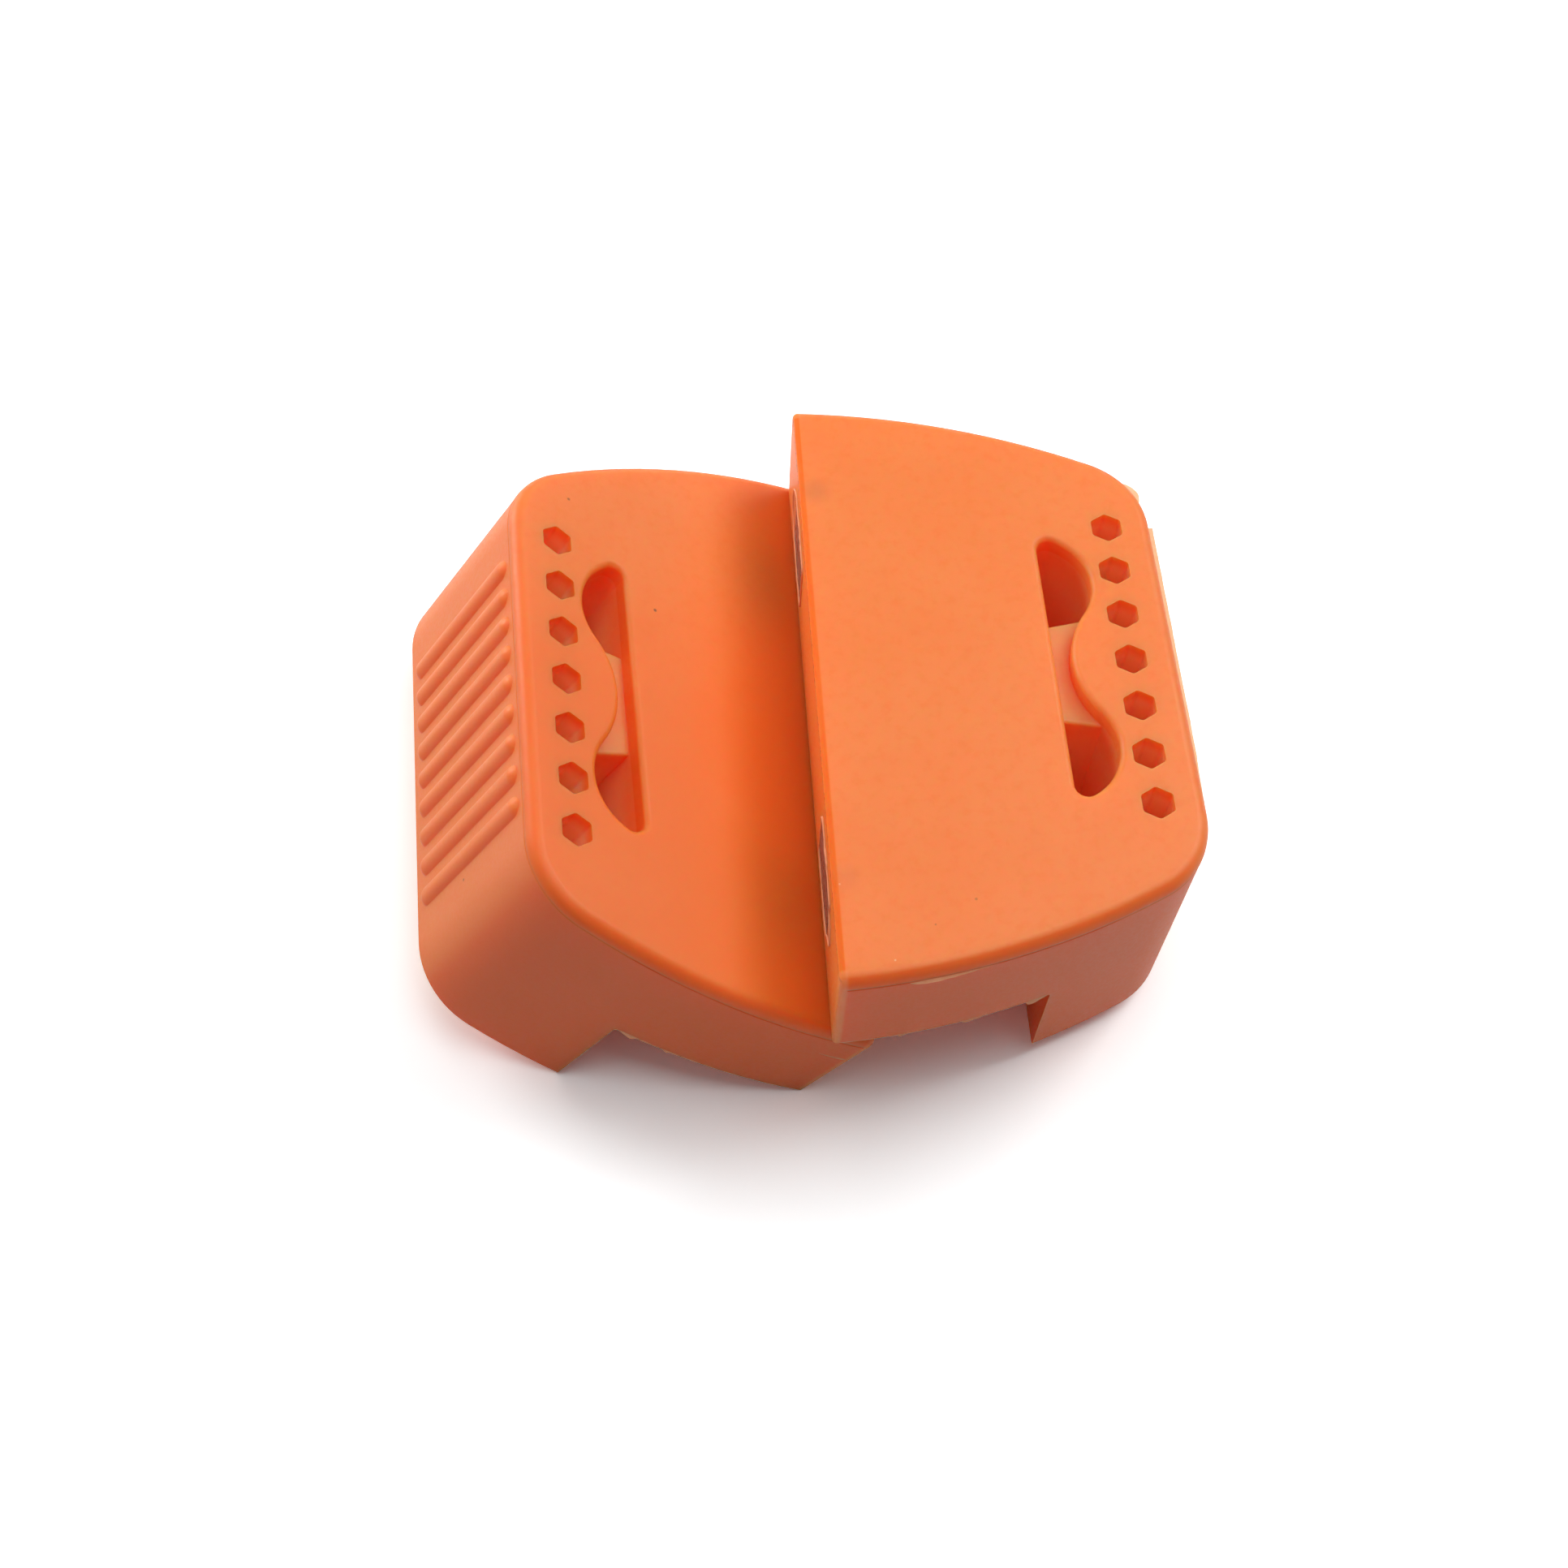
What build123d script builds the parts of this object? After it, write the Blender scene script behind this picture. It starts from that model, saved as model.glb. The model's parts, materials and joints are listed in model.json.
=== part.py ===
"""Pair of moulded magnetic clamp pads, one leaning on the other on a bench.

Both pads are the same moulding.  Each one is drawn lying flat in its own frame:
  X runs from the straight mating face (X = 0) out to the ribbed end wall,
  Y runs along the mating face, with the pad symmetrical about Y = 0,
  Z points up, with the flat top at Z = 0.
The pads are then laid down: the lower pad stands on its mating face and its foot,
and the upper pad rests one edge on the lower pad's top and one corner on the bench.
Every size is in millimetres.
"""
from build123d import *
import math
import os

# Pad outline, seen from above
mating_width = 111.0
pad_depth = 59.2
end_width = 75.0
side_radius = 130.0
end_corner_radius = 15.0

# Pad side view: a plate with a foot along its end wall, which leaves a jaw recess
plate_thickness = 21.5
foot_height = 42.0
recess_length = 35.0
recess_corner_radius = 0.6
rim_radius = 2.1
mating_edge_radius = 0.8
foot_edge_radius = 1.0

# Slot in the top: two deep wells with a raised saddle between them
slot_wall = 4.1
slot_length = 52.2
slot_width = 8.2
slot_waist = 2.9
lobe_radius = 10.2
slot_corner_radius = 2.0
slot_rim_radius = 1.0
saddle_length = 18.6
saddle_flare = 10.0
saddle_drop = 3.5
saddle_edge_radius = 0.5
well_floor = 4.0

# Row of hexagonal sockets in the top
socket_across_flats = 5.1
socket_corner_radius = 0.7
socket_pitch = 9.0
socket_count = 7
socket_inset = 7.7
socket_depth = 15.0

# Grip ribs on the end wall
rib_count = 9
rib_pitch = 5.5
rib_width = 3.6
rib_height = 1.0
rib_top_gap = 1.5
rib_bottom_gap = 3.0

# Magnets behind the mating face, each sunk in a pocket and sealed with clear glue
magnet_length = 15.0
magnet_height = 10.0
magnet_thickness = 4.0
magnet_end_distance = 23.5
magnet_clearance = 0.2
seal_thickness = 1.2

# How the pads lie
edge_gap = 0.1
edge_climb = 5.6
edge_shift = -1.2
edge_skew = -3.7

# Tolerance used to pick edges by their place
near = 1e-3


def outline():
    """Plan of the pad: straight mating edge, bowed sides and a rounded end."""
    half_mating = mating_width / 2
    half_end = end_width / 2
    edges = [
        Line((0, -half_mating), (0, half_mating)),
        RadiusArc((0, half_mating), (pad_depth, half_end), side_radius),
        Line((pad_depth, half_end), (pad_depth, -half_end)),
        RadiusArc((pad_depth, -half_end), (0, -half_mating), side_radius),
    ]
    plan = make_face(edges)
    end_corners = plan.vertices().group_by(Axis.X)[-1]
    return fillet(end_corners, end_corner_radius)


def side_profile():
    """Side view of the pad as a face in the XZ plane."""
    points = [
        (0, 0),
        (pad_depth + rib_height, 0),
        (pad_depth + rib_height, -foot_height),
        (recess_length, -foot_height),
        (recess_length, -plate_thickness),
        (0, -plate_thickness),
    ]
    profile = Plane.XZ * make_face(Polyline(*points, close=True))
    inner_corner = profile.vertices().sort_by_distance((recess_length, 0, -plate_thickness))[0]
    return fillet(inner_corner, recess_corner_radius)


def blank():
    """The pad without its slot, sockets, ribs and pockets."""
    block = extrude(outline(), -foot_height)
    body = block & extrude(side_profile(), mating_width, both=True)
    off_mating_face = body.edges().filter_by(lambda edge: edge.center().X > near)
    top_rim = off_mating_face.filter_by_position(Axis.Z, -near, near)
    body = fillet(top_rim, rim_radius)
    mating_edges = body.edges().filter_by_position(Axis.X, -near, near)
    body = fillet(mating_edges.filter_by_position(Axis.Z, -near, near), mating_edge_radius)
    bottom = body.edges().filter_by_position(Axis.Z, -foot_height - near, -foot_height + near)
    outer_bottom = bottom.filter_by(lambda edge: edge.center().X > recess_length + near)
    return fillet(outer_bottom, foot_edge_radius)


def slot_outline():
    """Slot as a sketch: straight inner side, and two round lobes that run smoothly into a
    narrow waist, all in arcs that touch."""
    lobe_x = slot_width - lobe_radius
    lobe_y = slot_length / 2 - lobe_radius
    inset = slot_waist - lobe_x
    waist_radius = (inset**2 + lobe_y**2 - lobe_radius**2) / (2 * (lobe_radius - inset))
    waist_x = slot_waist + waist_radius
    share = waist_radius / (waist_radius + lobe_radius)
    join_x = waist_x + (lobe_x - waist_x) * share
    join_y = lobe_y * share
    inner_y = lobe_y + math.sqrt(lobe_radius**2 - lobe_x**2)
    edges = [
        Line((0, -inner_y), (0, inner_y)),
        ThreePointArc((0, inner_y), (slot_width, lobe_y), (join_x, join_y)),
        ThreePointArc((join_x, join_y), (slot_waist, 0), (join_x, -join_y)),
        ThreePointArc((join_x, -join_y), (slot_width, -lobe_y), (0, -inner_y)),
    ]
    shape = make_face(edges)
    inner_corners = shape.vertices().group_by(Axis.X)[0]
    return fillet(inner_corners, slot_corner_radius)


def slot_start():
    """Distance from the mating face to the straight side of the slot."""
    return recess_length + slot_wall


def saddle():
    """The block that stands between the wells: its ends flare outward and are rounded on top."""
    overlap = 1.0
    slope = math.tan(math.radians(saddle_flare))
    inner_half = saddle_length / 2 - overlap * slope
    outer_half = saddle_length / 2 + (slot_width + overlap) * slope
    points = [
        (-overlap, -inner_half),
        (slot_width + overlap, -outer_half),
        (slot_width + overlap, outer_half),
        (-overlap, inner_half),
    ]
    block = extrude(make_face(Polyline(*points, close=True)), -foot_height)
    top_edges = block.edges().group_by(Axis.Z)[-1]
    end_edges = top_edges.filter_by(lambda edge: abs(edge.center().Y) > near)
    return Pos(slot_start(), 0, -saddle_drop) * fillet(end_edges, saddle_edge_radius)


def slot_cutter():
    """The slot: as deep as the wells at its ends, and shallow over the saddle."""
    plan = Pos(slot_start(), 0) * slot_outline()
    return extrude(plan, -(foot_height - well_floor)) - saddle()


def socket_cutters():
    """Row of blind hexagonal sockets with their corners pointing along the row."""
    hexagon = RegularPolygon(socket_across_flats / 2, 6, major_radius=False, rotation=30)
    plan = fillet(hexagon.vertices(), socket_corner_radius)
    socket = extrude(plan, -socket_depth)
    row = GridLocations(0, socket_pitch, 1, socket_count)
    return [Pos(pad_depth - socket_inset, 0) * place * socket for place in row]


def ribs():
    """Round-ended ribs standing out of the end wall."""
    radius = (rib_width**2 / 4 + rib_height**2) / (2 * rib_height)
    top = -(rim_radius + rib_top_gap + rib_width / 2)
    bottom = -(foot_height - rib_bottom_gap - rib_width / 2)
    bar = Pos(0, 0, (top + bottom) / 2) * Cylinder(radius, top - bottom)
    for end_z in (top, bottom):
        bar += Pos(0, 0, end_z) * Sphere(radius)
    axis_x = pad_depth + rib_height - radius
    row = GridLocations(0, rib_pitch, 1, rib_count)
    return [Pos(axis_x, 0) * place * bar for place in row]


def magnet_places():
    """Centres of the two magnets, each at the same distance from its end of the mating face."""
    offset = mating_width / 2 - magnet_end_distance
    return [Pos(0, side * offset, -plate_thickness / 2) for side in (-1, 1)]


def from_face(depth, thickness, grow):
    """A block of the magnet's outline that starts at a depth behind the mating face."""
    length = magnet_length + 2 * grow
    height = magnet_height + 2 * grow
    block = Box(thickness, length, height, align=(Align.MIN, Align.CENTER, Align.CENTER))
    return Pos(depth, 0, 0) * block


def pad():
    """The moulded pad."""
    body = blank()
    for rib in ribs():
        body += rib
    body -= slot_cutter()
    top_edges = body.edges().filter_by_position(Axis.Z, -near, near)
    slot_mouth = top_edges.filter_by(lambda edge: edge.center().X > slot_start() - near)
    slot_mouth = slot_mouth.filter_by(lambda edge: edge.center().X < slot_start() + slot_width + near)
    slot_mouth = slot_mouth.filter_by(lambda edge: abs(edge.center().Y) < slot_length / 2)
    body = fillet(slot_mouth, slot_rim_radius)
    body -= socket_cutters()
    pocket = from_face(0, seal_thickness + magnet_thickness, magnet_clearance)
    body -= [place * pocket for place in magnet_places()]
    return body


def magnets():
    """The two magnets, each against the floor of its pocket."""
    magnet = from_face(seal_thickness, magnet_thickness, 0)
    return [place * magnet for place in magnet_places()]


def seals():
    """The two clear glue seals, flush with the mating face."""
    seal = from_face(0, seal_thickness, magnet_clearance)
    return [place * seal for place in magnet_places()]


def lower_plane():
    """Frame of the lower pad: it stands on its mating face's edge and its foot's inner edge."""
    tilt = math.atan((foot_height - plate_thickness) / recess_length)
    outward = Vector(-math.cos(tilt), 0, math.sin(tilt))
    up = Vector(math.sin(tilt), 0, math.cos(tilt))
    return Plane(Vector(0, 0, plate_thickness * math.cos(tilt)), x_dir=outward, z_dir=up)


def foot_corners():
    """Plan points of the foot's bottom that could touch the bench first."""
    corners = []
    for point in outline().vertices():
        if point.X > recess_length:
            corners.append((point.X, point.Y))
    cut = Line((recess_length, -mating_width), (recess_length, mating_width)) & outline()
    for point in cut.vertices():
        corners.append((point.X, point.Y))
    return corners


def upper_plane():
    """Frame of the upper pad: its lower mating edge lies on the lower pad's top, and it
    leans about that edge until the first corner of its foot meets the bench."""
    base = lower_plane()
    skew = math.radians(edge_skew)
    away = Vector(0, 1, 0)
    edge_middle = (
        base.origin
        + base.x_dir * edge_climb
        + away * edge_shift
        + base.z_dir * edge_gap
    )
    along = away * math.cos(skew) + base.x_dir * math.sin(skew)
    rise = (Vector(0, 0, 1) - along * along.Z).normalized()
    outward = along.cross(rise)
    drop = foot_height - plate_thickness
    lean = -math.pi
    for x, y in foot_corners():
        cos_part = x * outward.Z - drop * rise.Z
        sin_part = x * rise.Z + drop * outward.Z
        target = -(edge_middle.Z + y * along.Z)
        reach = math.hypot(cos_part, sin_part)
        touch = math.atan2(sin_part, cos_part) - math.acos(target / reach)
        lean = max(lean, touch)
    x_dir = outward * math.cos(lean) + rise * math.sin(lean)
    z_dir = rise * math.cos(lean) - outward * math.sin(lean)
    return Plane(edge_middle + z_dir * plate_thickness, x_dir=x_dir, z_dir=z_dir)


def all_parts():
    """Every piece by name, laid on the bench with the whole pair's base centre at 0, 0, 0."""
    moulding = pad()
    pieces = {}
    for name, plane in (("lower", lower_plane()), ("upper", upper_plane())):
        place = plane.location
        pieces[f"{name}_pad"] = place * moulding
        for side, magnet, seal in zip("ab", magnets(), seals()):
            pieces[f"{name}_magnet_{side}"] = place * magnet
            pieces[f"{name}_seal_{side}"] = place * seal
    box = Compound(list(pieces.values())).bounding_box()
    centre = Pos(-(box.min.X + box.max.X) / 2, -(box.min.Y + box.max.Y) / 2, -box.min.Z)
    return {name: centre * piece for name, piece in pieces.items()}


os.makedirs("parts", exist_ok=True)
for node_name, piece in all_parts().items():
    export_step(piece, f"parts/{node_name}.step")
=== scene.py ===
"""Looks of a pair of moulded magnetic clamp pads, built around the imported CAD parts.

The two pads are one moulding, so every detail is placed in the moulding's own frame, in
millimetres: X from the mating face outward, Y along the mating face, Z up from the flat top.
pad_place() turns that frame into the row frame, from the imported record's mounts.
"""
import json
import math

import bpy
from mathutils import Matrix, Vector, noise


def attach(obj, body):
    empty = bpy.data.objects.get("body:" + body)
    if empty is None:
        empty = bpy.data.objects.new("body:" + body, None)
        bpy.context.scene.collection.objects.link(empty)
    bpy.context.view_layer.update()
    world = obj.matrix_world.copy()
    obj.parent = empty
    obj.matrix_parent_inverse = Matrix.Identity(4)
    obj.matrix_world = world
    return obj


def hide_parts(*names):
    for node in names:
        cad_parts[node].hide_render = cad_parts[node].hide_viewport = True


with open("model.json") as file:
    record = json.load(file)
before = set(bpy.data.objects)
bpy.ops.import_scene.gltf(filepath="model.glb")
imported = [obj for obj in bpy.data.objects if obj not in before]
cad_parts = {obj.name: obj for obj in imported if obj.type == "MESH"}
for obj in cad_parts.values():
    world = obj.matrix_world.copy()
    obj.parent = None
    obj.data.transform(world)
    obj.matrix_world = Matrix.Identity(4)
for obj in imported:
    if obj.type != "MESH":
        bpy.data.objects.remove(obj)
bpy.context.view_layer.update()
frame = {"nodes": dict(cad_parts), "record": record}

MM = 0.001

# The moulding, in millimetres
MATING_WIDTH = 111.0
PAD_DEPTH = 59.2
END_WIDTH = 75.0
SIDE_RADIUS = 130.0
END_CORNER_RADIUS = 15.0
PLATE_THICKNESS = 21.5
RECESS_LENGTH = 35.0
RIM_RADIUS = 2.1
SOCKET_INSET = 7.7
MAGNET_OFFSET = 32.0  # from the middle of the mating face
MAGNET_LENGTH = 15.0
MAGNET_HEIGHT = 10.0
MAGNET_CLEARANCE = 0.2
SEAL_THICKNESS = 1.2

# Where the slot and the sockets lie on the flat top, in millimetres
HOLLOW_HALF_WIDTH = 33.0
HOLLOW_START = 37.0
SOCKET_START = 48.2
HOLLOW_END = 56.6

PADS = {"lower": "lower_clamp_pad", "upper": "upper_clamp_pad"}
MOUNTS = {mount["name"]: mount for mount in frame["record"]["mounts"]}


# ---------------------------------------------------------------- frames


def pad_place(pad):
    """Matrix from a pad's own frame in millimetres to the row frame in metres."""
    up = Vector(MOUNTS[f"{pad}_sockets"]["axis"]).normalized()
    outward = -Vector(MOUNTS[f"{pad}_jaw_stop"]["axis"]).normalized()
    along = up.cross(outward)
    socket_row = Vector(MOUNTS[f"{pad}_sockets"]["pos_m"])
    origin = socket_row - outward * (PAD_DEPTH - SOCKET_INSET) * MM
    turn = Matrix((outward, along, up)).transposed().to_4x4()
    return Matrix.Translation(origin) @ turn @ Matrix.Scale(MM, 4)


PLACES = {pad: pad_place(pad) for pad in PADS}


# ---------------------------------------------------------------- node helpers


def new_material(name):
    """An empty node material with its Principled shader wired to the output."""
    material = bpy.data.materials.new(name)
    material.use_nodes = True
    nodes = material.node_tree.nodes
    nodes.clear()
    output = nodes.new("ShaderNodeOutputMaterial")
    shader = nodes.new("ShaderNodeBsdfPrincipled")
    material.node_tree.links.new(shader.outputs["BSDF"], output.inputs["Surface"])
    return material, shader


class Nodes:
    """Short names for the nodes that the materials share."""

    def __init__(self, material):
        self.tree = material.node_tree

    def add(self, kind, **settings):
        node = self.tree.nodes.new(kind)
        for key, value in settings.items():
            setattr(node, key, value)
        return node

    def link(self, source, target):
        self.tree.links.new(source, target)

    def feed(self, socket, value):
        """Links an output, or writes a constant, into a socket."""
        if isinstance(value, bpy.types.NodeSocket):
            self.link(value, socket)
        else:
            socket.default_value = value

    def pad_position(self, pad):
        """Position in the pad's own frame, in millimetres, which moves with the pad."""
        coordinates = self.add("ShaderNodeTexCoord")
        inverse = PLACES[pad].inverted()
        mapping = self.add("ShaderNodeMapping", vector_type="POINT")
        mapping.inputs["Location"].default_value = inverse.to_translation()
        mapping.inputs["Rotation"].default_value = inverse.to_quaternion().to_euler("XYZ")
        mapping.inputs["Scale"].default_value = (1 / MM,) * 3
        self.link(coordinates.outputs["Object"], mapping.inputs["Vector"])
        return mapping.outputs["Vector"]

    def noise(self, position, scale, detail=2.0, roughness=0.5):
        node = self.add("ShaderNodeTexNoise")
        self.link(position, node.inputs["Vector"])
        node.inputs["Scale"].default_value = scale
        node.inputs["Detail"].default_value = detail
        node.inputs["Roughness"].default_value = roughness
        return node.outputs["Fac"]

    def stretched(self, position, scale):
        """The position scaled along each axis, so that noise on it comes out in streaks."""
        node = self.add("ShaderNodeMapping")
        node.inputs["Scale"].default_value = scale
        self.link(position, node.inputs["Vector"])
        return node.outputs["Vector"]

    def band(self, value, low, high, to_low=0.0, to_high=1.0):
        """Value taken from low..high to to_low..to_high with soft ends."""
        node = self.add("ShaderNodeMapRange", interpolation_type="SMOOTHSTEP")
        self.feed(node.inputs["Value"], value)
        node.inputs["From Min"].default_value = low
        node.inputs["From Max"].default_value = high
        node.inputs["To Min"].default_value = to_low
        node.inputs["To Max"].default_value = to_high
        return node.outputs["Result"]

    def past(self, value, place, half=0.2):
        """0 before a place and 1 past it, with a soft step of half on each side."""
        return self.band(value, place - half, place + half)

    def math(self, operation, first, second=0.0):
        node = self.add("ShaderNodeMath", operation=operation)
        self.feed(node.inputs[0], first)
        self.feed(node.inputs[1], second)
        return node.outputs[0]

    def mix(self, factor, first, second):
        """Colour between first and second, at the node's colour inputs, 6 and 7."""
        node = self.add("ShaderNodeMix", data_type="RGBA")
        self.feed(node.inputs["Factor"], factor)
        self.feed(node.inputs[6], first)
        self.feed(node.inputs[7], second)
        return node.outputs[2]

    def spot(self, position, centre, radius, edge):
        """1 inside a ball round centre, falling to 0 over the edge."""
        node = self.add("ShaderNodeVectorMath", operation="DISTANCE")
        self.link(position, node.inputs[0])
        node.inputs[1].default_value = centre
        return self.band(node.outputs["Value"], radius, radius + edge, 1.0, 0.0)

    def spot_band(self, value, middle, half, edge):
        """1 where the value is within half of the middle, falling to 0 over the edge."""
        away = self.math("ABSOLUTE", self.math("SUBTRACT", value, middle))
        return self.band(away, half, half + edge, 1.0, 0.0)

    def axis(self, position, name):
        node = self.add("ShaderNodeSeparateXYZ")
        self.link(position, node.inputs[0])
        return node.outputs[name]

    def edges(self, radius):
        """1 close to a sharp edge, 0 on flat ground."""
        bevel = self.add("ShaderNodeBevel", samples=6)
        bevel.inputs["Radius"].default_value = radius
        geometry = self.add("ShaderNodeNewGeometry")
        dot = self.add("ShaderNodeVectorMath", operation="DOT_PRODUCT")
        self.link(bevel.outputs["Normal"], dot.inputs[0])
        self.link(geometry.outputs["Normal"], dot.inputs[1])
        return self.band(dot.outputs["Value"], 0.995, 0.80)


# ---------------------------------------------------------------- materials


ORANGE = (0.875, 0.196, 0.028, 1.0)
ORANGE_PALE = (0.935, 0.258, 0.060, 1.0)
ORANGE_DEEP = (0.870, 0.182, 0.024, 1.0)
END_WALL_LIT_ORANGE = (0.940, 0.220, 0.047, 1.0)
RIM_SHADE_ORANGE = (0.940, 0.160, 0.018, 1.0)
WALL_SHADE_ORANGE = (0.960, 0.158, 0.028, 1.0)
EDGE_HIGHLIGHT = (0.950, 0.320, 0.110, 1.0)
GLOW = (1.000, 0.450, 0.210, 1.0)
SOCKET_GLOW = (1.000, 0.520, 0.250, 1.0)
EDGE_SHADE_RED = (0.860, 0.125, 0.016, 1.0)
TRIM_RED = (0.420, 0.045, 0.008, 1.0)
FLASH_SIDE = ((0.900, 0.340, 0.160, 1.0), (0.950, 0.460, 0.260, 1.0))
FLASH_END = ((0.960, 0.500, 0.240, 1.0), (1.000, 0.680, 0.420, 1.0))
LEDGE_SIDE = ((0.930, 0.110, 0.018, 1.0), (0.960, 0.160, 0.030, 1.0))
LEDGE_END = ((0.930, 0.190, 0.038, 1.0), (0.950, 0.240, 0.055, 1.0))
CREASE_SHADE = (0.500, 0.080, 0.016, 1.0)
# Painted shadow: the lower pad's top beside the upper pad, where the upper pad shades it
SHADOW_BROWN = (0.760, 0.190, 0.032, 1.0)
# Brown of smudges, and of the painted shade where the magnets show through the plastic
SMUDGE_AND_MAGNET_SHADE = (0.420, 0.150, 0.062, 1.0)
SPECK = (0.120, 0.035, 0.015, 1.0)
FLECK = (1.000, 0.620, 0.320, 1.0)
MAGNET_TONES = ((0.170, 0.080, 0.055, 1.0), (0.300, 0.170, 0.130, 1.0))
MAGNET_SCRATCH = (0.430, 0.320, 0.280, 1.0)
GLUE_FILM = ((0.600, 0.260, 0.120, 1.0), (0.780, 0.440, 0.300, 1.0))
GLUE_OVER_MAGNET = ((0.190, 0.095, 0.065, 1.0), (0.380, 0.230, 0.185, 1.0))

# How pale each moulding is at its deepest-coloured end; the other end is pale on both. The paleness is
# painted light: the lower pad pales towards its far end, where the light comes from, and the upper pad
# is pale all over.
LIT_PALENESS = {"lower": 0.0, "upper": 0.9}

# How strongly the painted shade in the crease along the parting line shows on each pad
PARTING_SHADE_STRENGTH = {"lower": 0.15, "upper": 0.5}

# How far the mating face's ends lean inward for each millimetre of height
END_TAPER = 0.0605

# How far light soaks in, in metres: under the skin, and from wall to wall inside a hollow
SOAK_OUTSIDE = 0.0050
SOAK_IN_HOLLOWS = 0.0200

SATIN_GLOSS = 0.3


class Zones:
    """Masks from 0 to 1 for the parts of a moulding's surface, and a point's place on it."""

    def __init__(self, n, place):
        self.outward = n.axis(place, "X")
        self.across = n.axis(place, "Y")
        self.level = n.axis(place, "Z")
        self.width = n.math("ABSOLUTE", self.across)
        beside_hollows = n.past(self.width, HOLLOW_HALF_WIDTH)
        beyond_hollows = n.math("MAXIMUM", beside_hollows, n.past(self.outward, HOLLOW_END))
        off_mating_face = n.band(self.outward, 0.5, 1.5)
        self.outside = n.math("MULTIPLY", beyond_hollows, off_mating_face)
        self.walls = n.math("MULTIPLY", n.band(self.level, -2.1, -2.7), self.outside)
        not_outside = n.math("SUBTRACT", 1.0, self.outside)
        self.hollow = n.math("MULTIPLY", not_outside, n.past(self.outward, HOLLOW_START, 0.5))
        self.sockets = n.math("MULTIPLY", self.hollow, n.past(self.outward, SOCKET_START))
        at_top = n.band(self.level, -0.5, -0.2)
        self.mating_edge = n.math("MULTIPLY", n.spot_band(self.outward, 0.55, 0.25, 0.35), at_top)


def body_colour(n, pad, place, zones):
    """Clouded orange with painted light and shade: paler towards the far end, a deeper, redder copy on
    the walls, a paler end wall, and a painted shadow on the lower pad beside the upper one.
    """
    cloud = n.band(n.noise(place, 0.045, 3.0), 0.3, 0.7, -0.15, 0.15)
    mottle = n.noise(place, 0.5, 3.0, 0.6)
    # Painted light: paler towards the end where the light comes from
    lit_end = n.band(zones.across, 5.0, -42.0, LIT_PALENESS[pad], 0.9)
    colour = n.mix(n.math("ADD", lit_end, cloud), ORANGE, ORANGE_PALE)
    colour = n.mix(n.band(mottle, 0.45, 0.75, 0.0, 0.3), colour, ORANGE_DEEP)
    # Painted shadow: the lower pad's top darkens towards the mating face, where the upper pad stands
    # over it
    if pad == "lower":
        colour = n.mix(n.band(zones.outward, 18.0, 7.0, 0.0, 0.9), colour, SHADOW_BROWN)
    # Painted light and shade: the walls take their own deeper, redder copy of the orange, set to how
    # they are lit
    colour = n.mix(zones.walls, colour, WALL_SHADE_ORANGE)
    # Painted light and sheen: the end wall, lit from the left and reflecting the white floor, is paler
    end_wall = n.math("MULTIPLY", zones.walls, n.band(zones.outward, 57.0, 58.8))
    return n.mix(end_wall, colour, END_WALL_LIT_ORANGE)


def with_rim_shade_and_highlights(n, pad, zones, colour):
    """The colour with painted shade, a redder rim and a dark crease along the parting line, and painted
    highlights on sharp edges.
    """
    # Painted shade: the rim fillet turns away from the light and loses its sheen, so it is redder, less
    # so towards the end wall
    rim = n.math("MULTIPLY", n.spot_band(zones.level, -1.10, 0.70, 0.35), zones.outside)
    rim = n.math("MULTIPLY", rim, n.band(zones.outward, 52.0, 57.0, 0.85, 0.40))
    colour = n.mix(rim, colour, RIM_SHADE_ORANGE)
    # Painted shade: a dark line in the crease under the rim, along the parting line
    parting = n.spot_band(zones.level, -RIM_RADIUS - 0.16, 0.05, 0.14)
    parting = n.math("MULTIPLY", parting, zones.outside)
    colour = n.mix(n.math("MULTIPLY", parting, PARTING_SHADE_STRENGTH[pad]), colour, CREASE_SHADE)
    # Painted highlight along the sharp edges of the walls
    pale = n.math("MULTIPLY", n.edges(0.0004), n.math("MULTIPLY", zones.walls, 0.6))
    return n.mix(pale, colour, EDGE_HIGHLIGHT)


def with_glow(n, zones, colour):
    """The colour with the glow of light that soaks through to the saddle, wells and sockets."""
    saddle = n.math("MULTIPLY", n.band(zones.level, -3.1, -3.45), n.math("MULTIPLY", zones.hollow, 0.30))
    colour = n.mix(saddle, colour, GLOW)
    wells = n.math("MULTIPLY", zones.hollow, n.band(zones.level, -3.7, -12.0))
    colour = n.mix(wells, colour, GLOW)
    sockets = n.math("MULTIPLY", zones.sockets, n.band(zones.level, -0.2, -3.5))
    return n.mix(sockets, colour, SOCKET_GLOW)


def with_mating_edge_tones(n, place, zones, colour):
    """The colour with a painted shade line on the mating edge, its ragged trim and painted highlights on
    its ends.
    """
    # Painted shade: a red line along the rounded mating edge, which turns away from the light
    colour = n.mix(n.math("MULTIPLY", zones.mating_edge, 0.55), colour, EDGE_SHADE_RED)
    ragged = n.math("ADD", zones.level, n.math("MULTIPLY", n.noise(place, 1.1, 3.0, 0.7), 0.9))
    trim = n.math("MULTIPLY", n.spot_band(ragged, -0.30, 0.06, 0.12), n.band(zones.outward, 0.5, 0.3))
    colour = n.mix(n.math("MULTIPLY", trim, 0.8), colour, TRIM_RED)
    # Painted highlight on the ends of the mating face
    taper = n.math("MULTIPLY", zones.level, -END_TAPER)
    end_highlight = n.band(n.math("SUBTRACT", zones.width, taper), 53.0, 53.5)
    end_highlight = n.math("MULTIPLY", end_highlight, n.band(zones.outward, 1.6, 0.9))
    return n.mix(n.math("MULTIPLY", end_highlight, 0.6), colour, EDGE_HIGHLIGHT)


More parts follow.
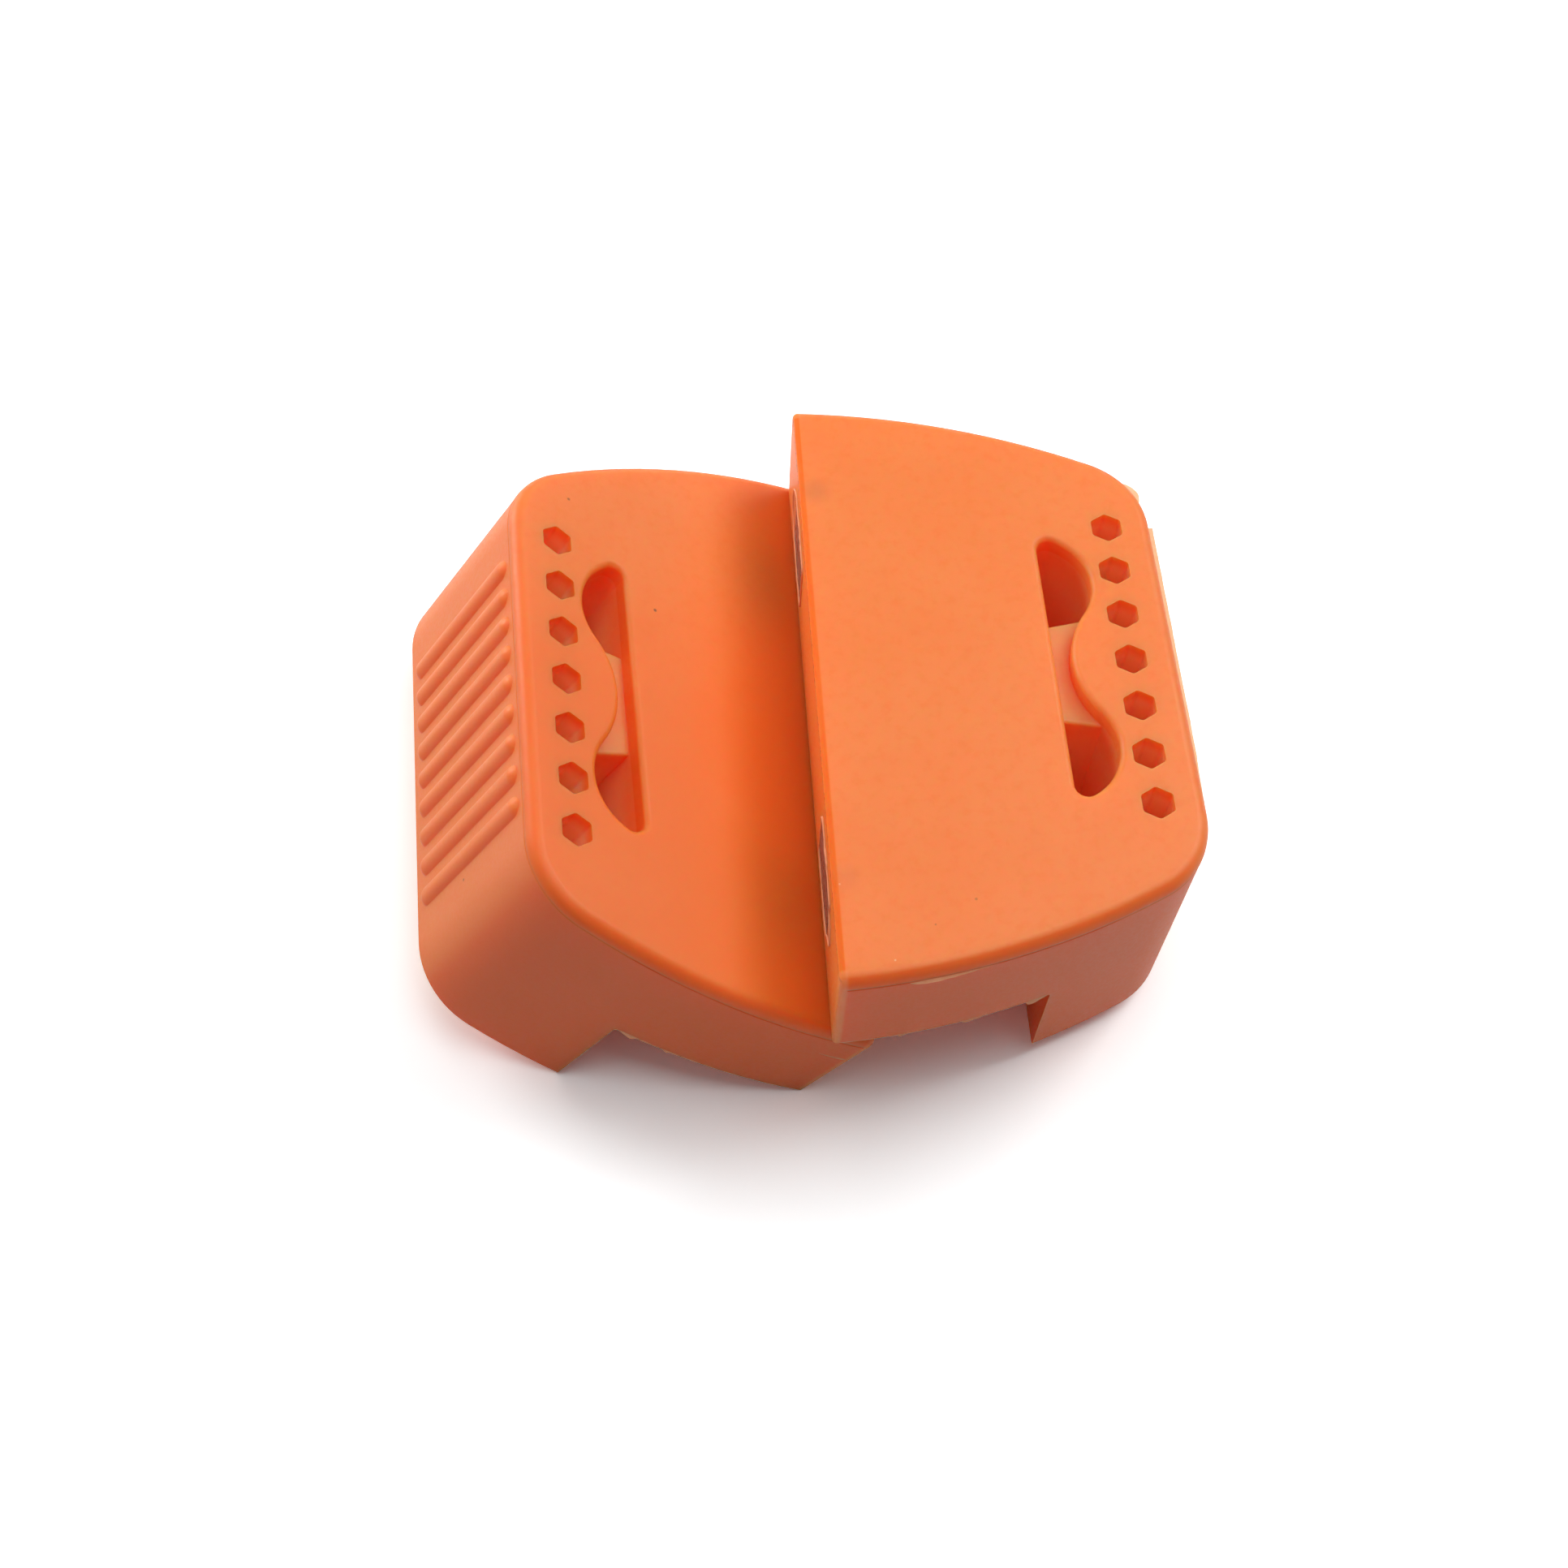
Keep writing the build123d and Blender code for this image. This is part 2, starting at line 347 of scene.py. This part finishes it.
def with_dirt_and_shade(n, place, dirt_and_shade, colour):
    """The colour with round marks of dirt and painted shade: (centre, radius, soft edge, strength,
    colour).
    """
    for centre, radius, edge, strength, tone in dirt_and_shade:
        mark = n.math("MULTIPLY", n.spot(place, centre, radius, edge), strength)
        colour = n.mix(mark, colour, tone)
    return colour


def satin_relief(n, place, walls):
    """A normal with broad ripples, a fine grain and rubbing on the walls."""
    ripple = n.noise(place, 0.22, 2.0)
    grain = n.noise(place, 5.0, 2.0)
    rub = n.math("MULTIPLY", n.noise(place, 1.3, 4.0, 0.65), walls)
    height = n.math("ADD", n.math("MULTIPLY", grain, 0.30), ripple)
    height = n.math("ADD", height, n.math("MULTIPLY", rub, 0.9))
    bump = n.add("ShaderNodeBump")
    bump.inputs["Strength"].default_value = 0.12
    bump.inputs["Distance"].default_value = 0.00015
    n.link(height, bump.inputs["Height"])
    return bump.outputs["Normal"]


def moulded_plastic(pad, dirt_and_shade):
    """Satin orange moulding: light soaks into it, its edges carry painted highlights, its walls are
    rubbed.
    """
    material, shader = new_material(f"{pad}_moulding")
    n = Nodes(material)
    place = n.pad_position(pad)
    zones = Zones(n, place)
    colour = body_colour(n, pad, place, zones)
    colour = with_rim_shade_and_highlights(n, pad, zones, colour)
    colour = with_glow(n, zones, colour)
    colour = with_mating_edge_tones(n, place, zones, colour)
    colour = with_dirt_and_shade(n, place, dirt_and_shade, colour)
    n.link(colour, shader.inputs["Base Color"])
    fine = n.noise(place, 1.6, 4.0, 0.55)
    n.link(n.band(fine, 0.3, 0.7, 0.38, 0.50), shader.inputs["Roughness"])
    n.link(satin_relief(n, place, zones.walls), shader.inputs["Normal"])
    # An exporter that drops the link reads the value written here
    shader.inputs["Specular IOR Level"].default_value = SATIN_GLOSS
    n.link(n.band(zones.mating_edge, 0.0, 0.6, SATIN_GLOSS, 0.0), shader.inputs["Specular IOR Level"])
    shader.inputs["Subsurface Weight"].default_value = 1.0
    shader.inputs["Subsurface Radius"].default_value = (1.0, 0.17, 0.05)
    below = n.math("MULTIPLY", zones.hollow, n.band(zones.level, -0.05, -0.45))
    n.link(n.band(below, 0.0, 1.0, SOAK_OUTSIDE, SOAK_IN_HOLLOWS), shader.inputs["Subsurface Scale"])
    return material


def thin_plastic(name, pad, side_tones, end_tones):
    """Plastic too thin for light to soak into, streaked between two tones along the sides and
    two along the end wall."""
    material, shader = new_material(f"{pad}_{name}")
    n = Nodes(material)
    place = n.pad_position(pad)
    streak = n.noise(place, 0.9, 3.0)
    ends = n.band(n.axis(place, "X"), 40.0, 46.0)
    colour = n.mix(ends, n.mix(streak, *side_tones), n.mix(streak, *end_tones))
    n.link(colour, shader.inputs["Base Color"])
    n.link(n.band(streak, 0.3, 0.7, 0.50, 0.65), shader.inputs["Roughness"])
    shader.inputs["Specular IOR Level"].default_value = 0.15
    return material


def magnet_metal(pad):
    """Dull plated magnet with handling scratches and darker patches."""
    material, shader = new_material(f"{pad}_magnet_metal")
    n = Nodes(material)
    place = n.pad_position(pad)
    patch = n.noise(place, 0.35, 4.0, 0.6)
    scratch = n.noise(n.stretched(place, (1.0, 0.15, 3.0)), 1.6, 3.0, 0.7)
    colour = n.mix(n.band(patch, 0.35, 0.65), *MAGNET_TONES)
    colour = n.mix(n.band(scratch, 0.55, 0.75, 0.0, 0.5), colour, MAGNET_SCRATCH)
    n.link(colour, shader.inputs["Base Color"])
    shader.inputs["Metallic"].default_value = 0.85
    n.link(n.band(patch, 0.3, 0.7, 0.30, 0.50), shader.inputs["Roughness"])
    return material


def clear_glue(pad):
    """Yellowed clear glue, cloudy in streaks. It carries the magnet's dark colour itself, since
    it doesn't refract; where it is spilt over the moulding it is a thin film."""
    material, shader = new_material(f"{pad}_clear_glue")
    n = Nodes(material)
    place = n.pad_position(pad)
    streak = n.noise(n.stretched(place, (1.0, 0.25, 1.2)), 0.55, 4.0, 0.65)
    across = n.math("ABSOLUTE", n.axis(place, "Y"))
    window = n.spot_band(across, MAGNET_OFFSET, MAGNET_LENGTH / 2 - 0.3, 0.3)
    tall = n.spot_band(n.axis(place, "Z"), -PLATE_THICKNESS / 2, MAGNET_HEIGHT / 2 + 0.6, 0.5)
    window = n.math("MULTIPLY", window, tall)
    film = n.mix(n.band(streak, 0.35, 0.7), *GLUE_FILM)
    dark = n.mix(n.band(streak, 0.30, 0.75), *GLUE_OVER_MAGNET)
    n.link(n.mix(window, film, dark), shader.inputs["Base Color"])
    thin = n.band(streak, 0.35, 0.7, 0.15, 0.60)
    n.link(n.math("MAXIMUM", thin, n.math("MULTIPLY", window, 0.92)), shader.inputs["Alpha"])
    n.link(n.band(streak, 0.3, 0.7, 0.20, 0.40), shader.inputs["Roughness"])
    shader.inputs["Specular IOR Level"].default_value = 0.2
    return material


# ---------------------------------------------------------------- shading of the CAD meshes


def soft_shading(node, crease=math.radians(42)):
    """Smooth normals over a CAD mesh, kept sharp where two faces meet above the crease angle.

    The tessellated faces share no vertices, so corners are matched by place."""
    mesh = node.data
    limit = math.cos(crease)
    per_metre = 1e7

    def place_of(vertex):
        return tuple(round(c * per_metre) for c in mesh.vertices[vertex].co)

    meeting = {}
    for polygon in mesh.polygons:
        for corner in polygon.vertices:
            meeting.setdefault(place_of(corner), []).append(polygon.index)
    normals = []
    facing = [polygon.normal.copy() for polygon in mesh.polygons]
    areas = [polygon.area for polygon in mesh.polygons]
    for polygon in mesh.polygons:
        polygon.use_smooth = True
        own = facing[polygon.index]
        for loop in polygon.loop_indices:
            total = Vector((0.0, 0.0, 0.0))
            for other in meeting[place_of(mesh.loops[loop].vertex_index)]:
                if facing[other].dot(own) > limit:
                    total += facing[other] * areas[other]
            normals.append(total.normalized() if total.length > 0 else own)
    mesh.normals_split_custom_set(normals)


def dress(node, material):
    """Gives a CAD node one material."""
    node.data.materials.clear()
    node.data.materials.append(material)


# ---------------------------------------------------------------- mesh helpers


def add_piece(name, pad, verts, faces, material, smooth=False):
    """A mesh given in the pad's own frame becomes a piece that rides on that pad."""
    mesh = bpy.data.meshes.new(name)
    place = PLACES[pad]
    mesh.from_pydata([place @ Vector(v) for v in verts], [], faces)
    mesh.validate()
    mesh.materials.append(material)
    for polygon in mesh.polygons:
        polygon.use_smooth = smooth
    piece = bpy.data.objects.new(name, mesh)
    bpy.context.scene.collection.objects.link(piece)
    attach(piece, PADS[pad])
    return piece


def wobble(along, seed, scale):
    """Smooth noise from -1 to 1 along a path."""
    return noise.noise(Vector((along * scale, seed * 7.31, 0.5)))


class Fins:
    """Closed thin fins along stations of (distance, point, reach direction, thickness direction)."""

    def __init__(self):
        self.verts = []
        self.faces = []

    def add(self, stations, reach, root=0.22, tip=0.07, bury=0.12):
        """A fin along a run. reach(distance, share of the run) gives its width in millimetres."""
        start = len(self.verts)
        count = len(stations)
        first = stations[0][0]
        span = max(stations[-1][0] - first, 1e-6)
        for along, point, out, across in stations:
            width = reach(along, (along - first) / span)
            foot = point - out * bury
            edge = point + out * width
            self.verts += [
                foot - across * root / 2,
                foot + across * root / 2,
                edge + across * tip / 2,
                edge - across * tip / 2,
            ]
        for i in range(count - 1):
            a = start + 4 * i
            b = a + 4
            for k in range(4):
                m = (k + 1) % 4
                self.faces.append((a + k, a + m, b + m, b + k))
        last = start + 4 * (count - 1)
        self.faces.append((start + 3, start + 2, start + 1, start))
        self.faces.append((last, last + 1, last + 2, last + 3))


# ---------------------------------------------------------------- outline of the moulding


def side_arc_centre():
    """Centre of the arc along the side with positive Y."""
    start = Vector((0.0, MATING_WIDTH / 2))
    end = Vector((PAD_DEPTH, END_WIDTH / 2))
    chord = end - start
    inward = Vector((chord.y, -chord.x)).normalized()
    return (start + end) / 2 + inward * math.sqrt(SIDE_RADIUS**2 - chord.length_squared / 4)


def outline_stations(step=0.25):
    """(distance, point, outward direction) from the mating corner at -Y round to the one at +Y."""
    centre = side_arc_centre()
    inner = SIDE_RADIUS - END_CORNER_RADIUS
    corner_x = PAD_DEPTH - END_CORNER_RADIUS
    corner_y = centre.y + math.sqrt(inner**2 - (corner_x - centre.x) ** 2)
    corner = Vector((corner_x, corner_y))
    side_end = math.atan2(corner.y - centre.y, corner.x - centre.x)
    side_start = math.atan2(MATING_WIDTH / 2 - centre.y, -centre.x)
    points = []
    count = round(SIDE_RADIUS * (side_start - side_end) / step)
    for i in range(count):
        angle = side_start + (side_end - side_start) * i / count
        out = Vector((math.cos(angle), math.sin(angle)))
        points.append((centre + out * SIDE_RADIUS, out))
    count = round(END_CORNER_RADIUS * side_end / step)
    for i in range(count):
        angle = side_end * (1 - i / count)
        out = Vector((math.cos(angle), math.sin(angle)))
        points.append((corner + out * END_CORNER_RADIUS, out))
    count = round(corner_y / step)
    for i in range(count + 1):
        points.append((Vector((PAD_DEPTH, corner_y * (1 - i / count))), Vector((1.0, 0.0))))
    mirrored = [(Vector((p.x, -p.y)), Vector((o.x, -o.y))) for p, o in points]
    points = mirrored + points[-2::-1]
    stations = []
    along = 0.0
    for i, (point, out) in enumerate(points):
        if i:
            along += (point - points[i - 1][0]).length
        stations.append((along, point, out))
    return stations


OUTLINE = outline_stations()


def at_level(level, wanted, out_share=1.0, drop=0.0, inset=0.0):
    """Fin stations on the outline where wanted(point) is true, leaning outward or down."""
    stations = []
    for along, point, out in OUTLINE:
        if not wanted(point):
            continue
        side = Vector((out.x, out.y, 0.0))
        direction = (side * out_share - Vector((0.0, 0.0, drop))).normalized()
        tangent = Vector((-out.y, out.x, 0.0))
        place = Vector((point.x, point.y, level)) - side * inset
        stations.append((along, place, direction, direction.cross(tangent)))
    return stations


# ---------------------------------------------------------------- moulding flash


def swell(t):
    """0 at both ends of a run, 1 in the middle."""
    return math.sin(math.pi * min(max(t, 0.0), 1.0))


def parting_line(seed):
    """The slight ledge all round where the two halves of the mould met."""
    fins = Fins()

    def reach(along, t):
        return 0.045 + 0.025 * wobble(along, seed, 0.16)

    fins.add(at_level(-RIM_RADIUS - 0.42, lambda p: p.x > 1.0), reach, root=0.36, tip=0.16)
    return fins


def edge_burr(fins, level, wanted, seed):
    """A slight broken burr hanging from a bottom edge."""

    def reach(along, t):
        wave = 0.65 * wobble(along, seed, 0.20) + 0.30 * wobble(along, seed + 5, 0.6)
        return 0.16 * max(0.10, 0.30 + wave)

    stations = at_level(level, wanted, 0.15, 1.0, 0.05)
    if len(stations) > 2:
        fins.add(stations, reach, root=0.16, tip=0.06, bury=0.2)


# Slivers of flash along one side of each pad: (from X, to X, level, height, outward share of
# the lean), in millimetres but for the share
SLIVERS = {
    "upper": [
        (10.3, 25.0, -2.45, 0.62, 1.40),
        (30.9, 35.2, -21.5, 0.85, 0.30),
        (20.4, 24.4, -21.5, 0.40, 0.50),
        (10.2, 12.0, -21.5, 0.34, 0.50),
    ],
    "lower": [
        (31.4, 34.6, -21.5, 0.60, 0.30),
        (25.2, 26.8, -21.5, 0.35, 0.50),
        (1.2, 6.5, -7.4, 0.25, 0.90),
    ],
}


def build_flash(pad, seed, long_side):
    """The burrs along a pad's bottom edges and the slivers of flash along one of its sides.
    long_side is that side's Y sign."""
    fins = Fins()
    for side in (-1, 1):

        def over_recess(p):
            return p.y * side > 0 and 1.0 < p.x < RECESS_LENGTH - 0.5

        edge_burr(fins, -PLATE_THICKNESS, over_recess, seed + side)
    for start, end, level, height, out_share in SLIVERS[pad]:
        run = at_level(level, lambda p: p.y * long_side > 0 and start < p.x < end, out_share, 1.0, 0.05)

        def reach(along, t):
            ragged = 0.12 * wobble(along, seed + start, 1.0)
            return height * (swell(t**0.55) * (1 - 0.45 * t) + ragged) + 0.05

        fins.add(sorted_run(run, long_side), reach, root=0.15, tip=0.06)
    return fins


def sorted_run(stations, side):
    """A run counted from the mating face outward, whichever side it is on."""
    if side > 0:
        top = stations[-1][0]
        return [(top - along, point, out, across) for along, point, out, across in reversed(stations)]
    return stations


def end_flash(fins, seed, near):
    """Two pale fins just under the rim, one round the far end corner and one along the end wall.
    near is the Y sign of the pad's side towards the camera."""
    level = -RIM_RADIUS - 0.1
    far = -near

    def corner(p):
        return p.x > 55.6 and p.y * far > 33.4

    def end_wall(p):
        return p.x > 45.0 and -31.0 < p.y * far < 28.6

    def corner_reach(along, t):
        return 1.35 * swell(t) ** 0.7 + 0.1 * wobble(along, seed, 0.8)

    def wall_reach(along, t):
        from_far = t if far < 0 else 1 - t
        wave = 0.10 * wobble(along, seed + 2, 0.12) + 0.05 * wobble(along, seed + 4, 0.7)
        return (0.82 - 0.45 * from_far + wave) * min(1.0, 0.10 + 4 * (1 - from_far))

    fins.add(at_level(level, corner), corner_reach, root=0.16, tip=0.05)
    fins.add(at_level(level, end_wall), wall_reach, root=0.16, tip=0.05)


# ---------------------------------------------------------------- glue over the magnets


def ragged_border(angle, seed, half_length, half_height):
    """Distance from the pocket's middle to the edge of the spilt glue at an angle."""
    c = abs(math.cos(angle))
    s = abs(math.sin(angle))
    square = 7.0
    base = ((c / half_length) ** square + (s / half_height) ** square) ** (-1 / square)
    wave = Vector((math.cos(angle) * 1.7, math.sin(angle) * 1.7, seed * 3.1))
    wave_fine = Vector((math.cos(angle) * 6.0, math.sin(angle) * 6.0, seed * 5.3))
    return base + (0.55 + 0.8 * noise.noise(wave) + 0.35 * noise.noise(wave_fine))


GLUE_GAP = 0.02  # between the glue and the pocket's walls
FILM_DEPTH = 0.05  # how far the spilt film's back lies inside the mating face
GLUE_RINGS = (0.3, 0.55, 0.78, 0.92, 1.0)
GLUE_TURNS = 120


def film_border(angle, seed, side, tail, half_length, half_height, pocket_edge):
    """Distance to the film's edge at an angle, with a tail towards the end of the mating face."""
    border = ragged_border(angle, seed, half_length, half_height)
    toward_end = math.cos(angle) * side
    if toward_end > 0:
        border += tail * toward_end ** (24 if tail < 4 else 10)
    elif toward_end < -0.9:
        border = min(border, pocket_edge + 0.35)
    return max(border, pocket_edge + 0.15)


def build_glue(side, seed, tail):
    """Glue that fills a magnet pocket, with a thin ragged film spilt round it."""
    half_length = MAGNET_LENGTH / 2 + MAGNET_CLEARANCE - GLUE_GAP
    half_height = MAGNET_HEIGHT / 2 + MAGNET_CLEARANCE - GLUE_GAP
    back_depth = SEAL_THICKNESS - 0.03
    mid = Vector((0.0, side * MAGNET_OFFSET, -PLATE_THICKNESS / 2))
    angles = [2 * math.pi * i / GLUE_TURNS for i in range(GLUE_TURNS)]
    verts = []

    def surface(y, z):
        wave = noise.noise(Vector((y * 0.35, z * 0.5, seed * 2.7)))
        fine = noise.noise(Vector((y * 1.1, z * 1.4, seed * 4.1)))
        return -(0.10 + 0.07 * wave + 0.03 * fine)

    def add_ring(radii, depth):
        """Adds a ring at depth(y, z) and returns its vertices' numbers."""
        start = len(verts)
        for angle, radius in zip(angles, radii):
            y = radius * math.cos(angle)
            z = radius * math.sin(angle)
            verts.append(mid + Vector((depth(y, z), y, z)))
        return list(range(start, len(verts)))

    def add_middle(depth):
        """Adds one vertex in the middle, which stands for a whole ring."""
        verts.append(mid + Vector((depth, 0.0, 0.0)))
        return [len(verts) - 1] * GLUE_TURNS

    pocket = [1 / max(abs(math.cos(a)) / half_length, abs(math.sin(a)) / half_height) for a in angles]
    film = [
        film_border(angle, seed, side, tail, half_length, half_height, edge)
        for angle, edge in zip(angles, pocket)
    ]
    rows = [add_middle(surface(0.0, 0.0))]
    for scale in GLUE_RINGS:
        thin = 0.35 if scale == 1.0 else 1.0
        rows.append(add_ring([scale * radius for radius in film], lambda y, z: surface(y, z) * thin))
    border = [verts[k] for k in rows[-1]]
    inner = [radius - GLUE_GAP for radius in pocket]
    rows.append(add_ring(film, lambda y, z: FILM_DEPTH))
    rows.append(add_ring(inner, lambda y, z: FILM_DEPTH))
    rows.append(add_ring(inner, lambda y, z: back_depth))
    rows.append(add_middle(back_depth))
    faces = []
    for a, b in zip(rows, rows[1:]):
        for i in range(GLUE_TURNS):
            k = (i + 1) % GLUE_TURNS
            unique = list(dict.fromkeys([a[i], a[k], b[k], b[i]]))
            faces.append(tuple(reversed(unique)))
    return verts, faces, border


def bead_round(border, seed):
    """The raised pale edge of the spilt glue: a thin closed tube along its border."""
    count = len(border)
    section = 6
    verts = []
    faces = []
    for i, point in enumerate(border):
        tangent = (border[(i + 1) % count] - border[i - 1]).normalized()
        out = Vector((1.0, 0.0, 0.0))
        across = tangent.cross(out).normalized()
        width = 0.13 + 0.05 * wobble(i * 0.2, seed, 1.0)
        for k in range(section):
            turn = 2 * math.pi * k / section
            verts.append(point + across * width * math.cos(turn) + out * 1.9 * width * math.sin(turn))
    for i in range(count):
        a = i * section
        b = (i + 1) % count * section
        for k in range(section):
            m = (k + 1) % section
            faces.append((a + k, a + m, b + m, b + k))
    return verts, faces


# ---------------------------------------------------------------- build


def marks(pad):
    """Marks on each pad, painted shade of the magnets and dirt: (centre, radius, soft edge, strength,
    colour).
    """
    # Painted shade: the magnets show through the thin plastic near the mating edge
    edge = [
        ((2.6, 36.8, 0.0), 0.4, 3.6, 0.26, SMUDGE_AND_MAGNET_SHADE),
        ((2.2, -38.0, 0.0), 0.3, 3.2, 0.16, SMUDGE_AND_MAGNET_SHADE),
    ]
    specks = {
        "upper": [
            ((21.4, -42.4, 0.0), 0.08, 0.25, 0.40, SPECK),
            ((8.4, -51.9, 0.0), 0.06, 0.16, 0.8, FLECK),
            ((1.2, -39.0, 0.0), 0.06, 0.18, 0.5, FLECK),
            ((36.2, -49.0, -17.5), 0.12, 0.35, 0.6, SPECK),
            ((14.9, -46.35, 0.0), 0.05, 0.18, 0.4, SPECK),
            ((5.2, -53.6, -9.0), 0.15, 0.30, 0.5, SMUDGE_AND_MAGNET_SHADE),
            ((7.6, -53.0, -13.6), 0.10, 0.40, 0.5, SMUDGE_AND_MAGNET_SHADE),
            ((15.5, -51.2, -7.5), 0.10, 0.25, 0.5, SPECK),
            ((29.5, -47.0, -5.6), 0.10, 0.30, 0.5, SMUDGE_AND_MAGNET_SHADE),
        ],
        "lower": [
            ((33.8, -18.0, 0.0), 0.12, 0.30, 0.8, SPECK),
            ((48.8, -36.4, 0.0), 0.10, 0.30, 0.6, SPECK),
            ((60.0, 7.9, -35.6), 0.20, 0.30, 0.6, SPECK),
            ((59.2, 25.6, -23.6), 0.10, 0.25, 0.6, SPECK),
            ((59.2, 34.0, -16.0), 0.10, 0.20, 0.8, FLECK),
            ((60.2, 3.6, -13.4), 0.15, 0.25, 0.8, FLECK),
        ],
    }
    return edge + specks[pad]


for index, pad in enumerate(PADS):
    # The Y sign of the pad's side towards the camera
    near = -1 if PLACES[pad].to_3x3().col[1].y > 0 else 1
    moulding = moulded_plastic(pad, marks(pad))
    metal = magnet_metal(pad)
    glue = clear_glue(pad)
    flash_plastic = thin_plastic("flash", pad, FLASH_SIDE, FLASH_END)
    ledge_plastic = thin_plastic("ledge", pad, LEDGE_SIDE, LEDGE_END)
    soft_shading(frame["nodes"][f"{pad}_pad"])
    dress(frame["nodes"][f"{pad}_pad"], moulding)
    for letter, side in (("a", -1), ("b", 1)):
        dress(frame["nodes"][f"{pad}_magnet_{letter}"], metal)
        tail = 3.4 if side == near else 5.0
        verts, faces, border = build_glue(side, 11 + 5 * index + side, tail)
        seal = add_piece(f"{pad}_glue_{letter}", pad, verts, faces, glue, smooth=True)
        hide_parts(f"{pad}_seal_{letter}")
        verts, faces = bead_round(border, 7 + 5 * index + side)
        add_piece(f"{pad}_glue_bead_{letter}", pad, verts, faces, flash_plastic, smooth=True)
    fins = build_flash(pad, 3 + 10 * index, near)
    if pad == "upper":
        end_flash(fins, 31, near)
    add_piece(f"{pad}_flash", pad, fins.verts, fins.faces, flash_plastic)
    ledge = parting_line(5 + 10 * index)
    add_piece(f"{pad}_parting_ledge", pad, ledge.verts, ledge.faces, ledge_plastic, smooth=True)


# ---------------------------------------------------------------- floor, light and camera


FLOOR_AS_LIGHT = (0.72, 0.72, 0.73, 1.0)
FLOOR_IN_GLOSS = (1.00, 1.00, 1.00, 1.0)
FLOOR_AS_SEEN = (1.39, 1.44, 1.45, 1.0)
FLOOR_HALF_WIDTH = 3.0  # metres

AMBIENT = 0.32
ROOM_BY_THE_CAMERA = 0.46

# (name, direction from the object, distance and width in metres, watts)
SOFTBOXES = [
    ("key_light", (0.05, 0.12, 0.95), 1.1, 0.8, 4.4),
    ("side_light", (0.60, 0.30, 0.74), 1.2, 0.55, 6.0),
    ("left_light", (-0.72, 0.68, 0.42), 0.55, 0.25, 1.5),
]

# The photo's camera, in millimetres and degrees
CAMERA_PLACE = (-32.88, -158.95, 294.16)
CAMERA_AIM = (-2.14, -7.76, 20.0)
CAMERA_ROLL = 5.68
CAMERA_LENS = 42.82
CAMERA_SENSOR = 36.0


def pale_floor():
    """A plain white floor that keeps the object's soft shadow."""
    mesh = bpy.data.meshes.new("floor")
    size = FLOOR_HALF_WIDTH
    corners = [(-size, -size, 0), (size, -size, 0), (size, size, 0), (-size, size, 0)]
    mesh.from_pydata(corners, [], [(0, 1, 2, 3)])
    floor = bpy.data.objects.new("floor", mesh)
    bpy.context.scene.collection.objects.link(floor)
    material, shader = new_material("floor_white")
    shader.inputs["Roughness"].default_value = 1.0
    shader.inputs["Specular IOR Level"].default_value = 0.0
    n = Nodes(material)
    path = n.add("ShaderNodeLightPath")
    colour = n.mix(path.outputs["Is Glossy Ray"], FLOOR_AS_LIGHT, FLOOR_IN_GLOSS)
    colour = n.mix(path.outputs["Is Camera Ray"], colour, FLOOR_AS_SEEN)
    n.link(colour, shader.inputs["Base Color"])
    mesh.materials.append(material)


def soft_light(name, direction, distance, size, energy):
    """A square softbox that faces the object."""
    data = bpy.data.lights.new(name, "AREA")
    data.size = size
    data.energy = energy
    lamp = bpy.data.objects.new(name, data)
    bpy.context.scene.collection.objects.link(lamp)
    lamp.location = Vector(direction).normalized() * distance
    lamp.rotation_euler = lamp.location.to_track_quat("Z", "Y").to_euler()


def studio_world(ambient, near_side):
    """White to the camera, a plain soft grey as light, and a white room in gloss. The room is
    dimmer low down on the side where the photographer stands."""
    world = bpy.data.worlds.new("studio_world")
    bpy.context.scene.world = world
    world.use_nodes = True
    world.node_tree.nodes.clear()
    n = Nodes(world)
    path = n.add("ShaderNodeLightPath")
    toward = n.axis(n.add("ShaderNodeTexCoord").outputs["Generated"], "Y")
    room = n.band(toward, -0.85, -0.05, near_side, 1.0)
    white = n.math("MAXIMUM", path.outputs["Is Camera Ray"], path.outputs["Is Transmission Ray"])
    inside = n.math("MAXIMUM", path.outputs["Is Glossy Ray"], ambient)
    strength = n.math("MAXIMUM", white, n.math("MULTIPLY", inside, room))
    background = n.add("ShaderNodeBackground")
    n.link(strength, background.inputs["Strength"])
    output = n.add("ShaderNodeOutputWorld")
    n.link(background.outputs[0], output.inputs["Surface"])


def photo_camera():
    """Camera above and in front of the pair, rolled slightly."""
    data = bpy.data.cameras.new("camera")
    data.sensor_width = CAMERA_SENSOR
    data.lens = CAMERA_LENS
    data.clip_start = 0.01
    camera = bpy.data.objects.new("camera", data)
    bpy.context.scene.collection.objects.link(camera)
    place = Vector(CAMERA_PLACE) * MM
    aim = Vector(CAMERA_AIM) * MM
    roll = math.radians(CAMERA_ROLL)
    look = (aim - place).to_track_quat("-Z", "Y").to_matrix().to_4x4()
    camera.matrix_world = Matrix.Translation(place) @ look @ Matrix.Rotation(roll, 4, "Z")
    bpy.context.scene.camera = camera


pale_floor()
studio_world(AMBIENT, ROOM_BY_THE_CAMERA)
for softbox in SOFTBOXES:
    soft_light(*softbox)
photo_camera()
bpy.context.scene.view_settings.view_transform = "Standard"
bpy.context.scene.cycles.diffuse_bounces = 10
